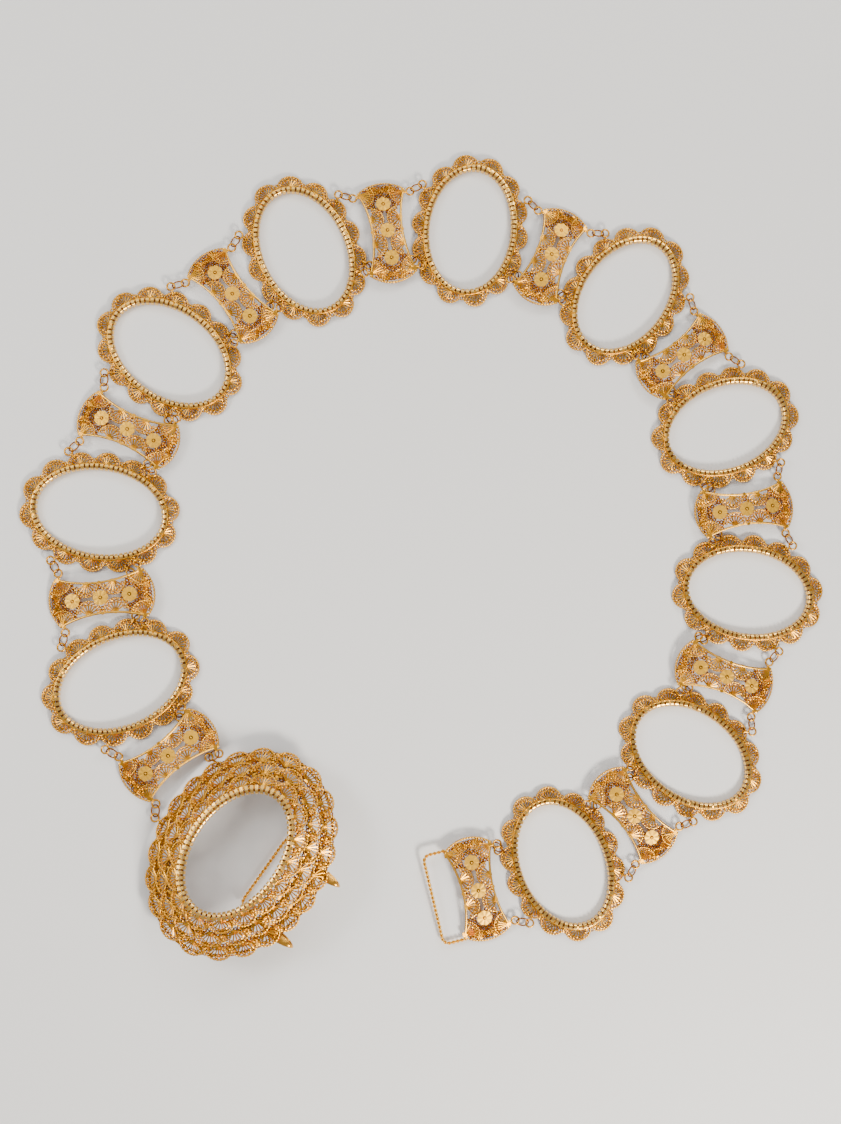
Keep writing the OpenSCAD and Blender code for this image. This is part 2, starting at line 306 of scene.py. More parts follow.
class Former(Shaper):
    """A Geometry Nodes tree, with the few moves that these pieces share."""

    def __init__(self, name, inputs):
        super().__init__(name, inputs, {"Geometry": "NodeSocketGeometry"})

    def use(self, group, inputs=None):
        made = self.group.nodes.new("GeometryNodeGroup")
        made.node_tree = group
        for label, value in (inputs or {}).items():
            self.fill(made.inputs[label], value)
        return made.outputs[0]

    def moved(self, geometry, place=(0, 0, 0), turn=(0, 0, 0), scale=(1, 1, 1)):
        facts = {"Geometry": geometry, "Translation": place, "Rotation": turn, "Scale": scale}
        return self.add("GeometryNodeTransform", facts)

    def lifted(self, geometry, height):
        return self.moved(geometry, self.vector(z=height))

    def joined(self, parts):
        return self.add("GeometryNodeJoinGeometry", {"Geometry": parts})

    def marked(self, geometry, name, value, domain="POINT"):
        facts = {"Geometry": geometry, "Name": name, "Value": value}
        return self.add("GeometryNodeStoreNamedAttribute", facts, {"data_type": "FLOAT", "domain": domain})

    def position(self):
        return self.add("GeometryNodeInputPosition")

    def split(self, vector):
        return self.node("ShaderNodeSeparateXYZ", {"Vector": vector}).outputs

    def height(self):
        return self.split(self.position())["Z"]

    def every(self, count):
        """Each point's place in its set of count, from 0."""
        return self.math("MODULO", self.add("GeometryNodeInputIndex"), float(count))

    def finished(self, geometry, finish, crest=None, shade=1.0):
        """geometry with its finish on every face, and how far each point stands up from its wire's middle,
        which sets its painted shade and painted highlight.

        crest is the height that counts as 1. Without it every point takes shade."""
        worth = self.math("DIVIDE", self.height(), crest) if crest else shade
        return self.marked(self.marked(geometry, "crest", worth), "finish", float(finish), "FACE")

    def circle(self, radius, steps):
        return self.add("GeometryNodeCurvePrimitiveCircle", {"Resolution": steps, "Radius": radius})

    def arc(self, radius, half, count):
        """An arc of count points that runs half radians to either side of +X."""
        return self.add("GeometryNodeCurveArc", {
            "Resolution": count, "Radius": radius,
            "Start Angle": self.math("MULTIPLY", half, -1.0), "Sweep Angle": self.math("MULTIPLY", half, 2.0),
        })

    def cylinder(self, radius, depth, steps):
        return self.add("GeometryNodeMeshCylinder", {"Vertices": steps, "Radius": radius, "Depth": depth})

    def swept(self, path, radius, sides, scale=1.0):
        """Round wire along a path."""
        return self.add("GeometryNodeCurveToMesh", {
            "Curve": path, "Profile Curve": self.circle(radius, sides), "Scale": scale, "Fill Caps": True,
        })

    def beaded(self, path, radius, sides):
        """Bright wire along a path, thin at the first point of every bead."""
        necks = self.math("COMPARE", self.every(BEAD_STEPS), 0.0, 0.5)
        scale = self.math("SUBTRACT", 1.0, self.math("MULTIPLY", necks, NECK))
        return self.finished(self.swept(path, radius, sides, scale), BRIGHT, radius)

    def ellipse(self, half_w, half_l, steps, count=None):
        """A level ellipse. With a count it holds that many points, evenly spaced along it from its +X end."""
        unit = self.circle(1.0, steps)
        curve = self.moved(unit, scale=self.vector(half_w, half_l, 1.0))
        if count is None:
            return self.add("GeometryNodeSetCurveNormal", {"Curve": curve}, {"mode": "Z_UP"})
        return self.add("GeometryNodeResampleCurve", {"Curve": curve, "Count": count}, {"mode": "COUNT"})

    def outward(self, half_w, half_l):
        """Rotation that points +X out of a level ellipse at each of its points."""
        square_w = self.math("MULTIPLY", half_w, half_w)
        square_l = self.math("MULTIPLY", half_l, half_l)
        facts = {0: self.position(), 1: self.vector(square_w, square_l, 1.0)}
        parts = self.split(self.add("ShaderNodeVectorMath", facts, {"operation": "DIVIDE"}))
        heading = self.vector(z=self.math("ARCTAN2", parts["Y"], parts["X"]))
        return self.add("FunctionNodeEulerToRotation", {"Euler": heading})

    def turned(self, rotation, about):
        turn = self.add("FunctionNodeEulerToRotation", {"Euler": about})
        return self.add("FunctionNodeRotateRotation", {"Rotation": rotation, "Rotate By": turn},
                        {"rotation_space": "LOCAL"})

    def stood(self, points, instance, rotation=(0, 0, 0), scale=(1, 1, 1), chosen=True):
        facts = {
            "Points": points, "Selection": chosen, "Instance": instance, "Rotation": rotation, "Scale": scale,
        }
        return self.add("GeometryNodeInstanceOnPoints", facts)

    def random(self, low, high, seed):
        facts = {"Min": low, "Max": high, "Seed": seed}
        return self.add("FunctionNodeRandomValue", facts, {"data_type": "FLOAT"})

    def wobble(self, most, seed):
        """A small turn about X and Y, as small rings lie when they are set by hand."""
        about_x = self.random(-most, most, seed)
        about_y = self.random(-most, most, self.math("ADD", seed, 50))
        return self.vector(about_x, about_y)

    def dressed(self, geometry):
        """The realized geometry, smooth, with a material for each finish."""
        whole = self.add("GeometryNodeRealizeInstances", {"Geometry": geometry})
        whole = self.add("GeometryNodeSetShadeSmooth", {"Geometry": whole, "Shade Smooth": True})
        angle = self.node("GeometryNodeInputMeshEdgeAngle").outputs["Unsigned Angle"]
        crease = self.math("GREATER_THAN", angle, SHARP_ANGLE)
        facts = {"Geometry": whole, "Selection": crease, "Shade Smooth": False}
        whole = self.add("GeometryNodeSetShadeSmooth", facts, {"domain": "EDGE"})
        mark = self.add("GeometryNodeInputNamedAttribute", {"Name": "finish"}, {"data_type": "FLOAT"})
        for finish, material in enumerate(FINISHES):
            chosen = self.add("FunctionNodeCompare", {"A": mark, "B": float(finish), "Epsilon": 0.5},
                              {"data_type": "FLOAT", "operation": "EQUAL"})
            whole = self.add("GeometryNodeSetMaterial",
                             {"Geometry": whole, "Selection": chosen, "Material": material})
        return whole


def fan_tree():
    """One filigree fan in the XY plane: a beaded border, a row of wire rings, and ribs that meet at its root.

    It opens towards +X. Its border is part of a circle whose middle lies at Centre on the X axis."""
    t = Former("fan", {
        "Radius": FAN_R, "Centre": 0.0, "Half Sweep": 1.55, "Beads": 14, "Border Wire": 0.48,
        "Rings": 8, "Ring Radius": 0.54, "Ring Wire": 0.24, "Rib Wire": 0.2, "Root": 0.8, "Slant": 0.3,
        "Apex": 0.2,
    })
    middle = t.vector(t["Centre"])
    border_r = t.math("SUBTRACT", t["Radius"], t["Border Wire"])
    steps = t.math("ADD", t.math("MULTIPLY", t["Beads"], float(BEAD_STEPS)), 1.0)
    border = t.moved(t.beaded(t.arc(border_r, t["Half Sweep"], steps), t["Border Wire"], 5), middle)

    ring_out = t.math("ADD", t["Ring Radius"], t["Ring Wire"])
    row_r = t.math("SUBTRACT", t["Radius"], t.math("MULTIPLY", t["Border Wire"], ROW_DEPTH))
    row_r = t.math("SUBTRACT", row_r, ring_out)
    row_half = t.math("SUBTRACT", t["Half Sweep"], t.math("DIVIDE", ring_out, row_r))
    row = t.moved(t.arc(row_r, row_half, t["Rings"]), middle)
    ring = t.finished(t.swept(t.circle(t["Ring Radius"], 9), t["Ring Wire"], 5), WIRE, t["Ring Wire"])
    rings = t.stood(row, ring, t.wobble(RING_WOBBLE, 3))

    count = t.math("SUBTRACT", t["Rings"], 1.0)
    feet_r = t.math("SUBTRACT", row_r, t.math("MULTIPLY", ring_out, RIB_LAP))
    feet_half = t.math("SUBTRACT", row_half, t.math("DIVIDE", row_half, count))
    feet = t.moved(t.arc(feet_r, feet_half, count), middle)
    apex = t.vector(t["Apex"], t["Slant"])
    gap = t.add("ShaderNodeVectorMath", {0: apex, 1: t.position()}, {"operation": "SUBTRACT"})
    reach = t.node("ShaderNodeVectorMath", {0: gap}, {"operation": "LENGTH"}).outputs["Value"]
    aim = t.add("FunctionNodeAlignRotationToVector", {"Vector": gap}, {"axis": "X"})
    line = t.add("GeometryNodeCurvePrimitiveLine", {"Start": (0, 0, 0), "End": (1, 0, 0)})
    flare = t.math("SUBTRACT", 1.5, t.math("MULTIPLY", t.add("GeometryNodeInputIndex"), 0.5))
    rib = t.finished(t.swept(line, t["Rib Wire"], 5, flare), WIRE, t["Rib Wire"])
    ribs = t.stood(feet, rib, aim, t.vector(reach, 1.0, 1.0))

    root = t.moved(t.cylinder(t["Root"], ROOT_DEPTH, 12), t.vector(t["Apex"]), scale=ROOT_SHAPE)
    root = t.finished(root, WIRE, ROOT_DEPTH / 2)
    return t.finish(Geometry=t.joined([border, rings, ribs, root]))


def rim_tree():
    """Rim round an oval opening: a rounded band, square bars across its top and a wire round its foot."""
    t = Former("rim", {
        "Half Width": OVAL_HALF[0], "Half Length": OVAL_HALF[1], "Width": RIM_W, "Height": RIM_H,
        "Reeds": REEDS, "Reed Radius": REED_R, "Reed Reach": REED_REACH,
    })
    band_h = t.math("SUBTRACT", t["Height"], REED_STAND)
    width = t.math("ADD", t["Width"], RIM_SKIRT - RIM_BACK)
    section = t.add("GeometryNodeCurvePrimitiveQuadrilateral", {"Width": width, "Height": band_h})
    facts = {"Curve": section, "Radius": RIM_ROUND, "Count": 2}
    section = t.add("GeometryNodeFilletCurve", facts, {"mode": "POLY"})
    middle = t.math("ADD", RIM_BACK, t.math("MULTIPLY", width, 0.5))
    section = t.moved(section, t.vector(middle, t.math("MULTIPLY", band_h, -0.5)))
    path = t.ellipse(t["Half Width"], t["Half Length"], RIM_STEPS)
    band = t.add("GeometryNodeCurveToMesh", {"Curve": path, "Profile Curve": section})
    # Painted shade: the band takes a low crest, so it shows dark in the slits between the bars.
    band = t.finished(band, WIRE, shade=SHADED)

    side = t.math("MULTIPLY", t["Reed Radius"], 2.0)
    path = t.add("GeometryNodeCurvePrimitiveBezierSegment", {
        "Resolution": 7, "Start": t.vector(t["Reed Reach"], 0.0, -REED_DIP),
        "Start Handle": (REED_HANDLE, 0, 0), "End Handle": (0, 0, -REED_HANDLE),
        "End": t.vector(z=t.math("SUBTRACT", side, t["Height"])),
    })
    section = t.add("GeometryNodeCurvePrimitiveQuadrilateral", {"Width": side, "Height": side})
    reed = t.add("GeometryNodeCurveToMesh", {"Curve": path, "Profile Curve": section, "Fill Caps": True})
    inset = t.math("MULTIPLY", t["Reed Radius"], REED_INSET)
    half_w = t.math("ADD", t["Half Width"], inset)
    half_l = t.math("ADD", t["Half Length"], inset)
    tilt = t.turned(t.outward(half_w, half_l), t.vector(t.random(-REED_TILT, REED_TILT, 7)))
    points = t.ellipse(half_w, half_l, PATH_STEPS, t["Reeds"])
    # The bars' pale polished colour is a painted highlight.
    reeds = t.stood(points, t.finished(reed, POLISHED), tilt, (1, REED_STRETCH, 1))
    reeds = t.lifted(reeds, t.math("SUBTRACT", t["Height"], t["Reed Radius"]))

    foot_w = t.math("ADD", t["Half Width"], FOOT_OUT)
    foot_l = t.math("ADD", t["Half Length"], FOOT_OUT)
    foot = t.finished(t.swept(t.ellipse(foot_w, foot_l, RIM_STEPS), FOOT_R, 8), WIRE, FOOT_R)
    foot = t.lifted(foot, t.math("SUBTRACT", t["Height"], FOOT_DOWN))
    return t.finish(Geometry=t.joined([band, reeds, foot]))


def eyelet_tree():
    """Wire eyelet round the origin, on a stem that runs towards -X."""
    t = Former("eyelet", {"Radius": EYE_R, "Wire": WIRE_R, "Stem": 5.0})
    ring = t.swept(t.circle(t["Radius"], 24), t["Wire"], 8)
    line = t.add("GeometryNodeCurvePrimitiveLine", {
        "Start": t.vector(t.math("MULTIPLY", t["Radius"], -1.0)),
        "End": t.vector(t.math("MULTIPLY", t["Stem"], -1.0)),
    })
    stem = t.swept(line, t.math("MULTIPLY", t["Wire"], 1.1), 8)
    return t.finish(Geometry=t.finished(t.joined([ring, stem]), WIRE, t["Wire"]))


def row_round(t, part, out, count, z, drop, turn=0.0, between=False):
    """A part repeated round the opening, out past it and z up, each sloping down by drop.

    With between they stand midway between the places of a row of count."""
    half_w = t.math("ADD", t["Half Width"], out)
    half_l = t.math("ADD", t["Half Length"], out)
    rotation = t.turned(t.outward(half_w, half_l), t.vector(0.0, drop, turn))
    points = t.ellipse(half_w, half_l, PATH_STEPS, 2 * count if between else count)
    chosen = t.every(2) if between else True
    return t.lifted(t.stood(points, part, rotation, chosen=chosen), z)


def ring_tree():
    """Single small wire ring round the origin."""
    t = Former("single_ring", {"Radius": 0.7, "Wire": 0.27, "Steps": 10, "Sides": 5, "Shade": 0.0})
    ring = t.swept(t.circle(t["Radius"], t["Steps"]), t["Wire"], t["Sides"])
    # Painted shade: the ring runs from Deep on its underside to Pale on top, and Shade lowers it all, so net
    # rings show dark between the fans.
    ring = t.marked(ring, "crest", t.math("SUBTRACT", t.math("DIVIDE", t.height(), t["Wire"]), t["Shade"]))
    return t.finish(Geometry=t.marked(ring, "finish", float(WIRE), "FACE"))


def oval_tree():
    """Open oval frame: a rim, fourteen fans that slope down from it, rings between them and four eyelets."""
    t = Former("oval_frame", {"Half Width": OVAL_HALF[0], "Half Length": OVAL_HALF[1], "Seed": 1})
    rim = t.use(RIM, {"Half Width": t["Half Width"], "Half Length": t["Half Length"]})
    reach = (FAN_REACH - RIM_W) / math.cos(FAN_DROP)
    fan = t.use(FAN, {
        "Radius": FAN_R, "Centre": reach - FAN_R, "Half Sweep": 1.7, "Beads": 15, "Rings": 9, "Apex": -0.6,
    })
    fiddle = t.random(-FAN_FIDDLE, FAN_FIDDLE, t["Seed"])
    fans = row_round(t, t.lifted(fan, -FAN_MIDDLE), RIM_W, OVAL_FANS, FAN_BASE_Z, FAN_DROP, fiddle)
    ring_z = FAN_BASE_Z - FAN_MIDDLE - OVAL_RING_OUT * math.tan(FAN_DROP)
    rings = row_round(t, t.use(RING), RIM_W + OVAL_RING_OUT, OVAL_FANS, ring_z, FAN_DROP, between=True)
    eyelet = t.use(EYELET, {"Stem": OVAL_STEM})
    eyelets = []
    for end in (-1, 1):
        for side in (-1, 1):
            turn = math.radians(side * (OVAL_EYE_TURN if end > 0 else 180 - OVAL_EYE_TURN))
            place = (end * OVAL_EYE.x, side * OVAL_EYE.y, EYE_Z)
            eyelets.append(t.moved(eyelet, place, (0, 0, turn)))
    return t.finish(Geometry=t.dressed(t.joined([rim, fans, rings] + eyelets)))


def edge_v(u):
    """Distance of a spool link's long edge from its middle line, at u along it."""
    return SIDE_MIDDLE - math.sqrt(SIDE_R ** 2 - u ** 2)


def disc(t):
    """Satin disc with a scalloped edge, grooves between its petals, a ring of painted shade and a pip."""
    plate = t.add("GeometryNodeMeshCylinder", {
        "Vertices": 48, "Fill Segments": 3, "Radius": DISC_R, "Depth": DISC_WALL,
    })
    position = t.position()
    parts = t.split(position)
    angle = t.math("ARCTAN2", parts["Y"], parts["X"])
    lobe = t.math("ABSOLUTE", t.math("COSINE", t.math("MULTIPLY", angle, DISC_LOBES / 2)))
    shrink = t.math("ADD", 1 - DISC_SCALLOP, t.math("MULTIPLY", lobe, DISC_SCALLOP))
    out = t.node("ShaderNodeVectorMath", {0: t.vector(parts["X"], parts["Y"])}, {"operation": "LENGTH"})
    groove = t.math("MULTIPLY", t.math("SUBTRACT", 1.0, lobe), out.outputs["Value"])
    sunk = t.math("SUBTRACT", 1.0, t.math("MULTIPLY", groove, DISC_GROOVE / DISC_R))
    facts = {0: position, 1: t.vector(shrink, shrink, sunk)}
    place = t.add("ShaderNodeVectorMath", facts, {"operation": "MULTIPLY"})
    plate = t.add("GeometryNodeSetPosition", {"Geometry": plate, "Position": place})
    top = (0, 0, DISC_WALL / 2)
    # Painted shade: a thin plate round the pip takes a low crest and shows as a dark ring.
    dimple = t.finished(t.moved(t.cylinder(DIMPLE_R, DIMPLE_DEPTH, 16), top), WIRE, shade=SHADED)
    pip = t.add("GeometryNodeMeshUVSphere", {"Segments": 12, "Rings": 6, "Radius": PIP_R})
    pip = t.finished(t.moved(pip, top, scale=(1, 1, PIP_FLAT)), BRIGHT)
    return t.joined([t.finished(plate, SATIN), dimple, pip])


def spool_net(t):
    """Net of small rings that fills a spool link between its fans, its discs and its slots."""
    half_x = math.ceil(SPOOL_END / NET_PITCH)
    half_y = math.ceil(SPOOL_CORNER[1] / NET_PITCH)
    grid = t.add("GeometryNodeMeshGrid", {
        "Size X": 2 * half_x * NET_PITCH, "Size Y": 2 * half_y * NET_PITCH,
        "Vertices X": 2 * half_x + 1, "Vertices Y": 2 * half_y + 1,
    })
    place = t.add("ShaderNodeVectorMath", {0: t.position()}, {"operation": "ABSOLUTE"})
    parts = t.split(place)

    def away(x, y, radius):
        """1 where the net is further than radius from a middle, else 0."""
        facts = {0: place, 1: (x, y, 0.0)}
        gap = t.node("ShaderNodeVectorMath", facts, {"operation": "DISTANCE"}).outputs["Value"]
        return t.math("GREATER_THAN", gap, radius)

    kept = away(END_FAN[2] - END_FAN[1], END_FAN_Y, END_FAN[0] - NET_LAP)
    for radius, centre, u, lean in (EDGE_FAN, CORNER_FAN):
        x = u - centre * math.sin(lean)
        y = edge_v(u) - FAN_INSET - centre * math.cos(lean)
        kept = t.math("MULTIPLY", kept, away(x, y, radius - NET_LAP))
    kept = t.math("MAXIMUM", kept, t.math("GREATER_THAN", parts["X"], NET_END))
    for x in (0.0, DISC_PITCH):
        kept = t.math("MULTIPLY", kept, away(x, 0.0, DISC_R - NET_LAP))
    kept = t.math("MULTIPLY", kept, away(0.0, SIDE_MIDDLE, SIDE_R + NET_OFF_EDGE))
    past_end = away(END_MIDDLE, 0.0, END_R - NET_OFF_END)
    kept = t.math("MULTIPLY", kept, t.math("SUBTRACT", 1.0, past_end))
    in_slot = t.math("MULTIPLY", t.math("COMPARE", parts["X"], SLOT[0], SLOT[1]),
                     t.math("COMPARE", parts["Y"], 0.0, SLOT[2]))
    kept = t.math("MULTIPLY", kept, t.math("SUBTRACT", 1.0, in_slot))
    rings = t.stood(grid, t.use(RING, NET_RING), t.wobble(NET_WOBBLE, t["Seed"]), chosen=kept)
    return t.lifted(rings, -NET_SINK)


def spool_fans(t):
    """Four fans along each long edge and two at each end, rooted just inside the edge and turned inwards."""
    edge_fan = t.use(FAN, {
        "Radius": EDGE_FAN[0], "Centre": EDGE_FAN[1], "Half Sweep": 1.6, "Border Wire": 0.42,
        "Ring Radius": 0.5, "Ring Wire": 0.26, "Rib Wire": 0.24, "Root": 0.9,
    })
    corner_fan = t.use(FAN, {
        "Radius": CORNER_FAN[0], "Centre": CORNER_FAN[1], "Half Sweep": 1.05, "Beads": 11,
        "Border Wire": 0.42, "Rings": 7, "Ring Radius": 0.5, "Ring Wire": 0.26, "Rib Wire": 0.24, "Root": 1.0,
    })
    end_fan = t.use(FAN, {
        "Radius": END_FAN[0], "Centre": END_FAN[1], "Half Sweep": 1.45, "Beads": 9, "Border Wire": 0.34,
        "Rings": 6, "Ring Radius": 0.38, "Ring Wire": 0.18, "Rib Wire": 0.17, "Root": 0.4,
    })
    fans = []
    for side in (-1, 1):
        for end in (-1, 1):
            for fan, (radius, centre, u, lean) in ((edge_fan, EDGE_FAN), (corner_fan, CORNER_FAN)):
                turn = -side * (math.pi / 2 + end * lean)
                fans.append(t.moved(fan, (end * u, side * (edge_v(u) - FAN_INSET), 0), (0, 0, turn)))
            turn = (math.pi if end > 0 else 0) - end * side * END_FAN[3]
            fans.append(t.moved(end_fan, (end * END_FAN[2], side * END_FAN_Y, 0), (0, 0, turn)))
    return fans


def spool_borders(t):
    """Plain wires along the long edges, beaded ones along the ends, and plates at the corners and waist."""
    radius, inset, flat, crest = EDGE_WIRE
    edge = t.arc(SIDE_R + inset, math.asin(SPOOL_CORNER[0] / SIDE_R), 25)
    edge = t.finished(t.moved(t.swept(edge, radius, 8), scale=(1, 1, flat)), BRIGHT, crest)
    end_wire = t.arc(END_R - END_WIRE, math.asin(SPOOL_CORNER[1] / END_R), BEAD_STEPS * END_BEADS + 1)
    end_wire = t.beaded(end_wire, END_WIRE, 6)
    corner = t.finished(t.cylinder(CORNER_PLATE[0], PLATE_DEPTH, 16), WIRE)
    waist = t.finished(t.cylinder(WAIST_PLATE[0], PLATE_DEPTH, 10), WIRE)
    parts = []
    for side in (-1, 1):
        parts.append(t.moved(edge, (0, side * SIDE_MIDDLE, 0), (0, 0, -side * math.pi / 2)))
        parts.append(t.moved(end_wire, (side * END_MIDDLE, 0, 0), (0, 0, 0 if side > 0 else math.pi)))
        parts.append(t.moved(waist, (0, side * (SPOOL_WAIST - WAIST_PLATE[1]), 0)))
        for end in (-1, 1):
            x = end * (SPOOL_CORNER[0] - CORNER_PLATE[1])
            parts.append(t.moved(corner, (x, side * (SPOOL_CORNER[1] - CORNER_PLATE[1]), 0)))
    return parts


def spool_tree():
    """Waisted and arched filigree plaque, with three discs along its middle and level eyelets on its edges.

    The free end's link has eyelets on one edge only."""
    t = Former("spool_link", {"Arch Radius": float(ARCH_R), "Free End": 0, "Seed": 1})
    parts = [spool_net(t)] + spool_fans(t) + spool_borders(t)
    level = disc(t)
    for place in (-1, 0, 1):
        parts.append(t.moved(level, (place * DISC_PITCH, 0, DISC_Z + DISC_WALL / 2)))
    flat = t.add("GeometryNodeRealizeInstances", {"Geometry": t.joined(parts)})
    u = t.split(t.position())["X"]
    square = t.math("MULTIPLY", t["Arch Radius"], t["Arch Radius"])
    rise = t.math("SQRT", t.math("SUBTRACT", square, t.math("MULTIPLY", u, u)))
    lift = t.math("SUBTRACT", rise, t.math("SUBTRACT", t["Arch Radius"], CROWN))
    arched = t.add("GeometryNodeSetPosition", {"Geometry": flat, "Offset": t.vector(z=lift)})

    eyelet = t.use(EYELET, {"Stem": SPOOL_STEM})
    near, far = [
        t.joined([
            t.moved(eyelet, (side * SPOOL_EYE.y, end * SPOOL_EYE.x, 0), (0, 0, end * math.pi / 2))
            for side in (-1, 1)
        ])
        for end in (-1, 1)
    ]
    far = t.add("GeometryNodeSwitch", {"Switch": t["Free End"], "False": far}, {"input_type": "GEOMETRY"})
    return t.finish(Geometry=t.dressed(t.joined([arched, far, near])))


def band_z(d):
    """Height of the buckle's band, at d past its opening."""
    drop = DOME_H - BUCKLE_RIM_H
    return drop + BAND_LIP - drop * (d - RIM_W) / (BAND_W - RIM_W)


def buckle_tree():
    """Domed oval buckle: its rim, and three tiers of fans that slope down from it one over the other.

    Smaller fans and small rings fill the gaps between the fans, and rows of net rings lie under them."""
    t = Former("buckle_dome", {"Half Width": BUCKLE_HALF[0], "Half Length": BUCKLE_HALF[1], "Seed": 1})
    rim = t.use(RIM, {
        "Half Width": t["Half Width"], "Half Length": t["Half Length"], "Height": BUCKLE_RIM_H,
        "Reed Reach": BUCKLE_REED_REACH,
    })
    parts = [t.lifted(rim, DOME_H - BUCKLE_RIM_H - RIM_SINK)]
    slope = math.atan2(DOME_H - BUCKLE_RIM_H, BAND_W - RIM_W)
    fiddle = t.random(-FAN_FIDDLE, FAN_FIDDLE, t["Seed"])
    for start, end, count, radius, step in TIERS:
        reach = (end - start) / math.cos(slope)
        fan = t.use(FAN, {
            "Radius": radius, "Centre": reach - radius, "Half Sweep": 1.6, "Border Wire": 0.5,
            "Ring Wire": 0.27, "Rib Wire": 0.22, "Root": 0.6, "Apex": reach - radius - 0.6,
        })
        reach -= FILL_SHORT / math.cos(slope)
        filling = t.use(FAN, {
            "Radius": FILL_R, "Centre": reach - FILL_R, "Half Sweep": 1.5, "Beads": 7, "Border Wire": 0.32,
            "Rings": 5, "Ring Radius": 0.72, "Ring Wire": 0.25, "Rib Wire": 0.2, "Root": 0.6,
            "Apex": reach - FILL_R - 0.5,
        })
        z = band_z(start) + step
        parts.append(row_round(t, t.lifted(fan, -TIER_SINK), start, count, z, slope, fiddle))
        filling = t.lifted(filling, -FILL_SINK)
        parts.append(row_round(t, filling, start, count, z, slope, fiddle, between=True))
        cusp = end - CUSP
        z = band_z(cusp) + step - CUSP_SINK
        parts.append(row_round(t, t.use(RING), cusp, count, z, slope, between=True))
    for out in NET_ROWS:
        count = round(math.pi * (sum(BUCKLE_HALF) + 2 * out) / NET_PITCH)
        ring = t.use(RING, NET_RING)
        parts.append(row_round(t, ring, out, count, band_z(out) - NET_ROW_SINK, slope, between=True))
    return t.finish(Geometry=t.dressed(t.joined(parts)))


def buckle_eyelet_tree():
    """The two eyelets that join the buckle to the last spool link."""
    t = Former("buckle_eyelets", {"Stem": BUCKLE_STEM})
    eyelet = t.use(EYELET, {"Stem": t["Stem"]})
    eyelets = [t.moved(eyelet, (place.x, place.y, EYE_Z), (0, 0, math.pi)) for place in BUCKLE_EYES]
    return t.finish(Geometry=t.dressed(t.joined(eyelets)))


def twist_tree():
    """Two strands twisted round each other along a path."""
    t = Former("twisted_wire", {"Loop Radius": LOOP_R, "Pitch": LOOP_PITCH})
    path = t.group.interface.new_socket("Path", in_out="INPUT", socket_type="NodeSocketGeometry")
    t.group.interface.move(path, 0)
    curve = t.add("GeometryNodeResampleCurve", {"Curve": t["Path"], "Length": LOOP_STEP}, {"mode": "LENGTH"})
    length = t.node("GeometryNodeSplineParameter").outputs["Length"]
    tilt = t.math("MULTIPLY", t.math("DIVIDE", length, t["Pitch"]), 2 * math.pi)
    curve = t.add("GeometryNodeSetCurveTilt", {"Curve": curve, "Tilt": tilt})
    strand_r = t.math("MULTIPLY", t["Loop Radius"], 0.5)
    strand = t.circle(strand_r, 8)
    other = t.moved(strand, t.vector(t.math("MULTIPLY", strand_r, -1.0)))
    pair = t.joined([t.moved(strand, t.vector(strand_r)), other])
    wire = t.add("GeometryNodeCurveToMesh", {"Curve": curve, "Profile Curve": pair, "Fill Caps": True})
    return t.finish(Geometry=t.dressed(t.finished(wire, BRIGHT)))


def gold_tone():
    """Colour, roughness and fine relief of worked gold: painted shade (Deep) on the low side of each wire and
    a painted highlight (Pale) on its crest.
    """
    t = Shaper("gold_tone", {
        "Deep": (0.22, 0.06, 0.008, 1.0), "Body": (0.85, 0.37, 0.055, 1.0), "Pale": (1.0, 0.6, 0.18, 1.0),
        "Drift": 0.3, "Smooth": 0.2, "Dull": 0.4, "Grain Scale": 5000.0,
    }, {
        "Colour": "NodeSocketColor", "Roughness": "NodeSocketFloat", "Height": "NodeSocketFloat",
    }, "ShaderNodeTree")
    place = t.node("ShaderNodeTexCoord").outputs["Object"]
    crest = t.node("ShaderNodeAttribute", settings={"attribute_name": "crest"}).outputs["Fac"]
    drift = t.add("ShaderNodeTexNoise", {"Vector": place, "Scale": 260.0, "Detail": 3.0})
    patches = t.add("ShaderNodeTexNoise", {"Vector": place, "Scale": 1500.0, "Detail": 4.0})
    grain = t.add("ShaderNodeTexNoise", {"Vector": place, "Scale": t["Grain Scale"], "Detail": 2.0})
    # Painted shade and highlight from each point's height on its wire: low turns the underside Deep, high
    # turns the crest Pale, broken up by patches.
    low, high = [
        t.add("ShaderNodeMapRange", {"Value": crest, "From Min": start, "From Max": end},
              {"interpolation_type": "SMOOTHSTEP"})
        for start, end in ((-0.4, 0.75), (0.45, 1.0))
    ]
    painted_highlight = t.math("MULTIPLY", high, t.math("ADD", 0.55, patches))
    body = colour_mix(t, low, t["Deep"], t["Body"])
    body = colour_mix(t, painted_highlight, body, t["Pale"])
    tint = t.math("MULTIPLY", t["Drift"], drift)
    body = colour_mix(t, tint, body, t["Deep"])
    return t.finish(
        Colour=body,
        Roughness=t.add("ShaderNodeMapRange", {"Value": patches, "To Min": t["Smooth"], "To Max": t["Dull"]}),
        Height=t.math("ADD", grain, t.math("MULTIPLY", patches, 1.5)),
    )


def colour_mix(t, factor, first, second):
    """first where factor is 0, second where it is 1."""
    made = t.node("ShaderNodeMix", settings={"data_type": "RGBA"})
    t.fill(made.inputs["Factor"], factor)
    for socket, value in zip((s for s in made.inputs if s.type == "RGBA"), (first, second)):
        t.fill(socket, value)
    return next(s for s in made.outputs if s.type == "RGBA")


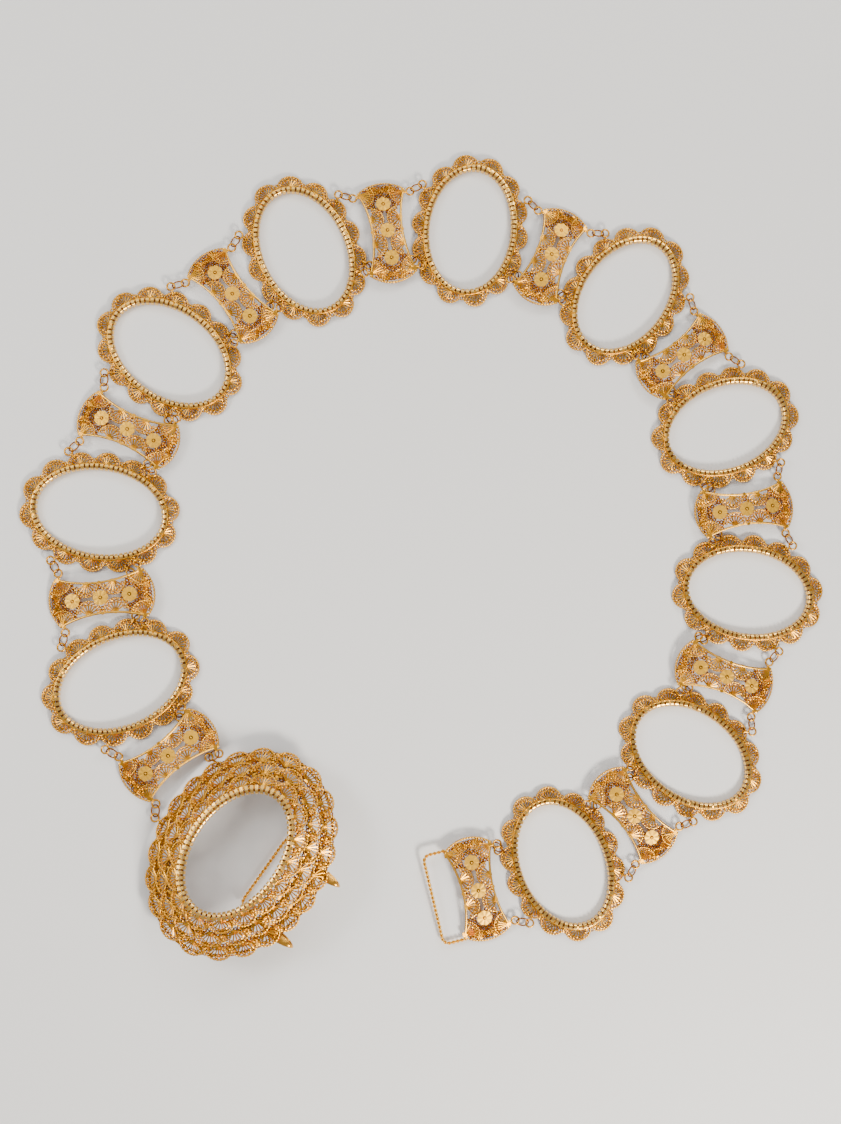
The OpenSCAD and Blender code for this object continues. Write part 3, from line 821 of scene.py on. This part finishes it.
def gold(name, tone, relief, **values):
    """A gold finish made from the tone group, with its own values."""
    material = bpy.data.materials.new(name)
    material.use_nodes = True
    nodes = material.node_tree.nodes
    link = material.node_tree.links.new
    shader = nodes["Principled BSDF"]
    shader.inputs["Metallic"].default_value = 1.0
    group = nodes.new("ShaderNodeGroup")
    group.node_tree = tone
    for label, value in values.items():
        group.inputs[label.replace("_", " ")].default_value = value
    bump = nodes.new("ShaderNodeBump")
    bump.inputs["Strength"].default_value = relief
    bump.inputs["Distance"].default_value = RELIEF_DEPTH
    link(group.outputs["Height"], bump.inputs["Height"])
    link(group.outputs["Colour"], shader.inputs["Base Color"])
    link(group.outputs["Roughness"], shader.inputs["Roughness"])
    link(bump.outputs["Normal"], shader.inputs["Normal"])
    return material


TONE = gold_tone()
# Each finish: Deep is its painted shade and the dark end of its random drift, Body its own gold, and Pale its
# painted highlight.
FINISHES = [
    gold("filigree_wire", TONE, 0.22, Deep=(0.17, 0.045, 0.004, 1), Body=(0.7, 0.27, 0.01, 1),
         Pale=(0.96, 0.46, 0.035, 1), Smooth=0.2, Dull=0.42),
    gold("bright_cut", TONE, 0.15, Deep=(0.34, 0.1, 0.01, 1), Body=(0.84, 0.36, 0.025, 1),
         Pale=(1, 0.56, 0.08, 1), Smooth=0.24, Dull=0.4, Drift=0.1),
    gold("satin_disc", TONE, 0.06, Deep=(0.7, 0.31, 0.02, 1), Body=(0.95, 0.5, 0.04, 1),
         Pale=(1, 0.56, 0.055, 1), Smooth=0.42, Dull=0.6, Drift=0.25),
    # The rim's bars take this finish whole, and its pale colour is a painted highlight that makes them read
    # cream.
    gold("polished_rim", TONE, 0.15, Deep=(0.14, 0.04, 0.005, 1), Body=(0.9, 0.42, 0.04, 1),
         Pale=(1, 0.61, 0.16, 1), Smooth=0.18, Dull=0.32, Drift=0.2),
]
FAN = fan_tree()
RIM = rim_tree()
EYELET = eyelet_tree()
RING = ring_tree()


def turn_z(degrees):
    return Matrix.Rotation(math.radians(degrees), 4, "Z")


def eye(i):
    return SPOOL_EYE if i % 2 == 0 else OVAL_EYE


def chain_places():
    """Middle and heading of every link from the free end on: even places are spools, odd ones ovals."""
    middles = [FIRST]
    headings = [FIRST_HEADING]
    for i, bend in enumerate(BENDS):
        here = eye(i)
        after = eye(i + 1)
        headings.append(headings[i] + bend)
        slant = -OUTER_SLANT if i % 2 == 0 else OUTER_SLANT
        leave = turn_z(headings[i]) @ Vector((here.x, -here.y, 0))
        cross = turn_z((headings[i] + headings[i + 1]) / 2 + slant) @ Vector((OUTER_GAP, 0, 0))
        middles.append(middles[i] + leave + cross + turn_z(headings[i + 1]) @ after)
    return middles, headings


MIDDLES, HEADINGS = chain_places()
BUCKLE_HEADING = HEADINGS[-1] + BUCKLE_BEND
LAST_EYE = MIDDLES[-1] + turn_z(HEADINGS[-1]) @ Vector((SPOOL_EYE.x, -SPOOL_EYE.y, 0))
BUCKLE_MIDDLE = (
    LAST_EYE
    + turn_z(HEADINGS[-1] + BUCKLE_BEND / 2 + BUCKLE_SLANT) @ Vector((BUCKLE_GAP, 0, 0))
    - turn_z(BUCKLE_HEADING) @ BUCKLE_EYES[0]
)


def link_place(i):
    """Matrix from a link's own frame, in millimetres, to its place in the belt."""
    place = Matrix.Scale(MM, 4) @ Matrix.Translation(MIDDLES[i]) @ turn_z(HEADINGS[i])
    if i % 2 == 0:
        level = Matrix.Translation((0, 0, (EYE_Z + INNER_EYE_Z) / 2))
        place = place @ level @ Matrix.Rotation(SPOOL_TILT, 4, "X") @ turn_z(90)
    return place


def buckle_flat():
    return Matrix.Scale(MM, 4) @ Matrix.Translation(BUCKLE_MIDDLE) @ turn_z(BUCKLE_HEADING)


def buckle_place():
    """Matrix from the level buckle's frame to its place, leant back about its chain side."""
    edge = BUCKLE_HALF[0] + BAND_W
    lean = Matrix.Rotation(-BUCKLE_LEAN, 4, "Y")
    return buckle_flat() @ Matrix.Translation((-edge, 0, BUCKLE_Z)) @ lean @ Matrix.Translation((edge, 0, 0))


def placed(name, mesh, place):
    piece = bpy.data.objects.new(name, mesh)
    bpy.context.scene.collection.objects.link(piece)
    mesh.transform(place)
    return piece


def formed(name, tree, place, sizes=None, data=None):
    """The tree's shape as a plain mesh object, set in its place."""
    holder = bpy.data.objects.new(name, data or bpy.data.meshes.new(name))
    bpy.context.scene.collection.objects.link(holder)
    modifier = holder.modifiers.new("form", "NODES")
    modifier.node_group = tree
    named = {item.name: item.identifier for item in tree.interface.items_tree if item.in_out == "INPUT"}
    for label, value in (sizes or {}).items():
        modifier[named[label]] = value
    depsgraph = bpy.context.evaluated_depsgraph_get()
    mesh = bpy.data.meshes.new_from_object(holder.evaluated_get(depsgraph), depsgraph=depsgraph)
    mesh.name = name
    bpy.data.objects.remove(holder)
    return placed(name, mesh, place)


def fused(pieces):
    """All the pieces as one object, under the first one's name."""
    with bpy.context.temp_override(active_object=pieces[0], selected_editable_objects=pieces):
        bpy.ops.object.join()
    return pieces[0]


def stands_for(piece, node):
    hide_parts(node)
    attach(piece, "root")


def loop_curve(name, half, reach):
    """Path of a wire loop in the XY plane: from a root on either side out to a far side at reach."""
    curve = bpy.data.curves.new(name, "CURVE")
    curve.dimensions = "3D"
    corner_steps = 6
    points = [(-half, 0.0)]
    for side, start in ((-1, 180), (1, 90)):
        for k in range(corner_steps + 1):
            angle = math.radians(start - 90 * k / corner_steps)
            points.append((side * (half - LOOP_BEND) + LOOP_BEND * math.cos(angle),
                           reach - LOOP_BEND + LOOP_BEND * math.sin(angle)))
    points.append((half, 0.0))
    spline = curve.splines.new("POLY")
    spline.points.add(len(points) - 1)
    for point, (x, y) in zip(spline.points, points):
        point.co = (x, y, 0, 1)
    return curve


def hook_mesh(name):
    """Leaf-shaped hook, bent back under itself, its bend at X = 0."""
    outer = HOOK_BEND + HOOK_WALL
    middle_r = HOOK_BEND + HOOK_WALL / 2
    leaf_r = ((HOOK_L / 2) ** 2 + (HOOK_W / 2) ** 2) / HOOK_W
    leaf_middle = HOOK_TIP - HOOK_L / 2
    stations = [(-outer - HOOK_ABOVE + HOOK_ABOVE * k / 12, middle_r, 0.0, 1.0) for k in range(13)]
    for k in range(1, 12):
        angle = math.radians(90 - 15 * k)
        stations.append((-outer + middle_r * math.cos(angle), middle_r * math.sin(angle),
                         math.cos(angle), math.sin(angle)))
    stations += [(-outer - HOOK_BELOW * k / 6, -middle_r, 0.0, -1.0) for k in range(7)]
    made = bmesh.new()
    rows = []
    for x, z, nx, nz in stations:
        bow = math.sqrt(max(leaf_r ** 2 - (x - leaf_middle) ** 2, 0))
        half = max(bow - leaf_r + HOOK_W / 2, HOOK_LEAST)
        row = []
        for k in range(12):
            angle = math.radians(30 * k)
            lift = 0.5 * HOOK_WALL * math.sin(angle)
            row.append(made.verts.new((x + nx * lift, half * math.cos(angle), z + nz * lift)))
        rows.append(row)
    for first, second in zip(rows, rows[1:]):
        for k in range(12):
            j = (k + 1) % 12
            made.faces.new((first[k], first[j], second[j], second[k]))
    made.faces.new(list(reversed(rows[0])))
    made.faces.new(rows[-1])
    bmesh.ops.recalc_face_normals(made, faces=made.faces)
    for face in made.faces:
        face.smooth = True
    mesh = bpy.data.meshes.new(name)
    made.to_mesh(mesh)
    made.free()
    crest = mesh.attributes.new("crest", "FLOAT", "POINT")
    for value in crest.data:
        value.value = HOOK_CREST
    mesh.materials.append(FINISHES[POLISHED])
    return mesh


def make_ovals():
    tree = oval_tree()
    for k in range(1, 11):
        piece = formed(f"filigree_oval_{k:02d}", tree, link_place(2 * k - 1), {"Seed": k})
        stands_for(piece, f"oval_{k:02d}")


def make_spools(twist):
    tree = spool_tree()
    for k in range(1, 12):
        place = link_place(2 * k - 2)
        piece = formed(f"filigree_spool_{k:02d}", tree, place, {"Free End": int(k == 1), "Seed": k})
        if k == 1:
            root = Matrix.Translation((0, *CATCH_ROOT))
            curve = loop_curve("catch_loop", CATCH_HALF, CATCH_REACH - CATCH_ROOT[0])
            piece = fused([piece, formed("catch_loop", twist, place @ root, data=curve)])
        stands_for(piece, f"spool_{k:02d}")


def make_buckle(twist):
    dome = formed("filigree_buckle", buckle_tree(), buckle_place())
    pieces = [dome, formed("buckle_eyelets", buckle_eyelet_tree(), buckle_flat())]
    for tip, (x, y) in enumerate(HOOK_TIPS):
        hook = hook_mesh(f"hook_{tip + 1}")
        pieces.append(placed(hook.name, hook, buckle_place() @ Matrix.Translation((x, y, HOOK_Z))))
    run = BACK_ROOT[0] - BACK_END[0]
    fall = BACK_ROOT[2] - BACK_END[1]
    curve = loop_curve("back_loop", BACK_HALF, math.hypot(run, fall))
    dip = Matrix.Rotation(-math.atan2(fall, run), 4, "Y")
    root = Matrix.Translation(BACK_ROOT)
    pieces.append(formed("back_loop", twist, buckle_place() @ root @ dip @ turn_z(90), data=curve))
    stands_for(fused(pieces), "buckle")


def dress_rings():
    """The jump rings keep their solids and take the wire's finish."""
    for name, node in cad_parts.items():
        if name.startswith("rings_"):
            node.data.materials.clear()
            node.data.materials.append(FINISHES[WIRE])
            for face in node.data.polygons:
                face.use_smooth = True


def surface():
    """Plain pale surface under the belt."""
    bpy.ops.mesh.primitive_plane_add(size=6, location=(0, 0, -SURFACE_GAP))
    floor = bpy.context.object
    floor.name = "surface"
    material = bpy.data.materials.new("pale_surface")
    material.use_nodes = True
    shader = material.node_tree.nodes["Principled BSDF"]
    shader.inputs["Base Color"].default_value = (0.9, 0.89, 0.87, 1)
    shader.inputs["Roughness"].default_value = 0.75
    floor.data.materials.append(material)


def softbox(name, place, size, power, colour=(1, 1, 1)):
    light = bpy.data.lights.new(name, "AREA")
    light.shape = "DISK"
    light.size = size
    light.energy = power
    light.color = colour
    lamp = bpy.data.objects.new(name, light)
    lamp.location = place
    lamp.rotation_euler = (-Vector(place)).to_track_quat("-Z", "Y").to_euler()
    bpy.context.scene.collection.objects.link(lamp)


def light_and_camera():
    world = bpy.data.worlds.new("studio")
    world.use_nodes = True
    world.node_tree.nodes["Background"].inputs["Color"].default_value = (1, 0.96, 0.9, 1)
    world.node_tree.nodes["Background"].inputs["Strength"].default_value = 0.43
    bpy.context.scene.world = world
    softbox("key", (0.35, -0.6, 0.5), 0.2, 9, (1, 0.95, 0.88))
    softbox("fill", (-0.6, 0.1, 0.5), 0.3, 2.5)
    softbox("back", (0.3, 0.6, 0.55), 0.3, 2.5)
    softbox("top", (-0.25, 0.5, 0.9), 0.9, 2.5)
    camera = bpy.data.cameras.new("camera")
    camera.lens = 51.25
    camera.sensor_width = 36
    holder = bpy.data.objects.new("camera", camera)
    holder.location = (-0.0540, -0.0458, 0.6367)
    holder.rotation_euler = tuple(math.radians(angle) for angle in (3.554, -4.591, 0.372))
    bpy.context.scene.collection.objects.link(holder)
    bpy.context.scene.camera = holder


light_and_camera()
surface()
TWIST = twist_tree()
make_ovals()
make_spools(TWIST)
make_buckle(TWIST)
dress_rings()
